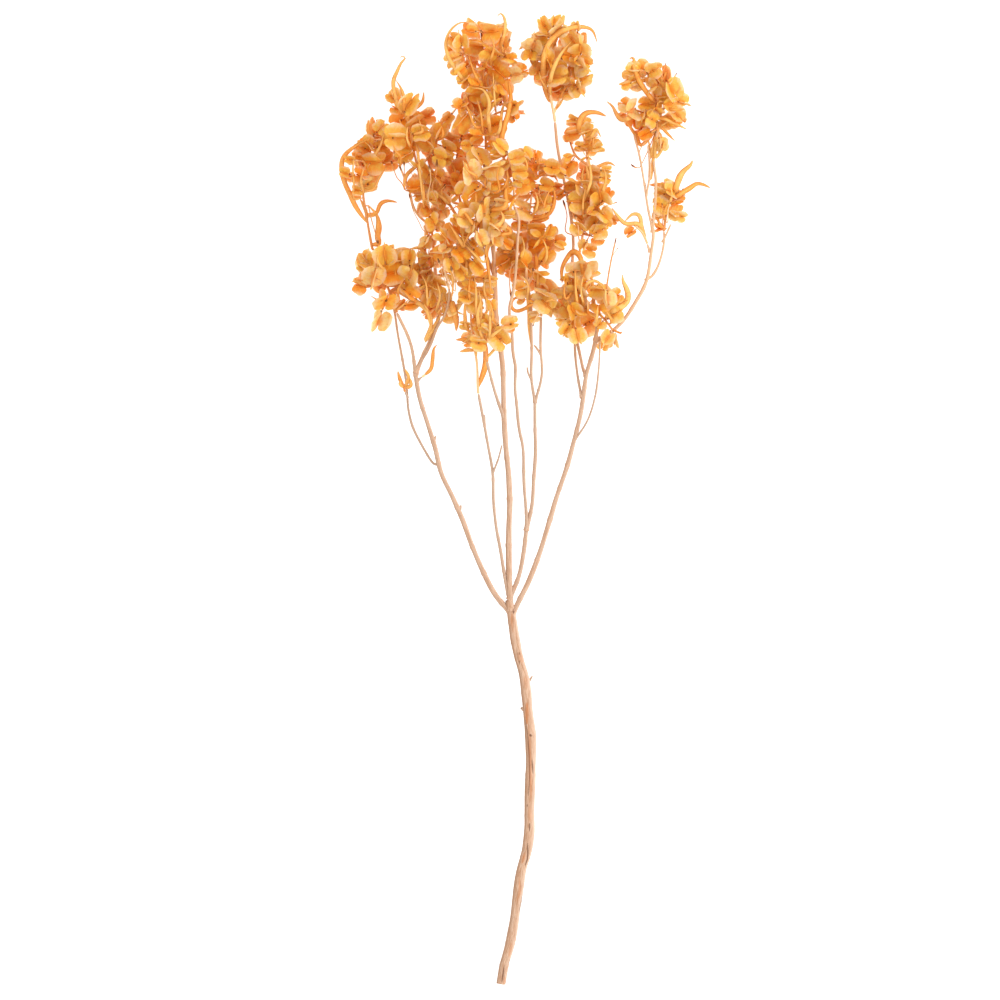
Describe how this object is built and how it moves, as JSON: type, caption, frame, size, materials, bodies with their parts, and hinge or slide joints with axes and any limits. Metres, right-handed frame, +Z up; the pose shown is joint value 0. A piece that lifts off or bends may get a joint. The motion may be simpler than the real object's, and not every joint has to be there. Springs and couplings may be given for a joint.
{
  "type": "dried seed capsule branch",
  "caption": "Dried, dyed branch lying flat: a bare bleached stem forks into thin twigs that carry dense heads of papery orange winged seed capsules and narrow curled leaves.",
  "frame": {"origin": "on the table, under the middle of the branch's box", "axes": "+Y from the stem's cut end to the heads, +X to the right as seen from above, +Z up off the table"},
  "size_m": [0.2679, 0.6976, 0.084],
  "materials": {
    "bleached_wood": "matte, bleached and dyed pale peach",
    "dyed_papery_capsules": "matte, papery, dyed orange"
  },
  "bodies": {
    "root": {"woody_branch": "bleached_wood", "spray_left_curl": "dyed_papery_capsules", "spray_left_middle": "dyed_papery_capsules", "spray_column": "dyed_papery_capsules", "spray_top": "dyed_papery_capsules", "spray_right_middle": "dyed_papery_capsules", "spray_far_top": "dyed_papery_capsules", "spray_far_low": "dyed_papery_capsules", "spray_centre_back": "dyed_papery_capsules", "spray_centre_front": "dyed_papery_capsules", "spray_centre_crown": "dyed_papery_capsules", "spray_centre_left": "dyed_papery_capsules", "spray_centre_right": "dyed_papery_capsules", "spray_left_low": "dyed_papery_capsules", "spray_left_inner": "dyed_papery_capsules", "spray_centre_low": "dyed_papery_capsules", "spray_centre_low_left": "dyed_papery_capsules", "spray_right_inner": "dyed_papery_capsules", "spray_right_low": "dyed_papery_capsules", "tuft_left": "dyed_papery_capsules", "leaf_left_fork": "dyed_papery_capsules", "leaf_right_fork": "dyed_papery_capsules"}
  },
  "joints": []
}
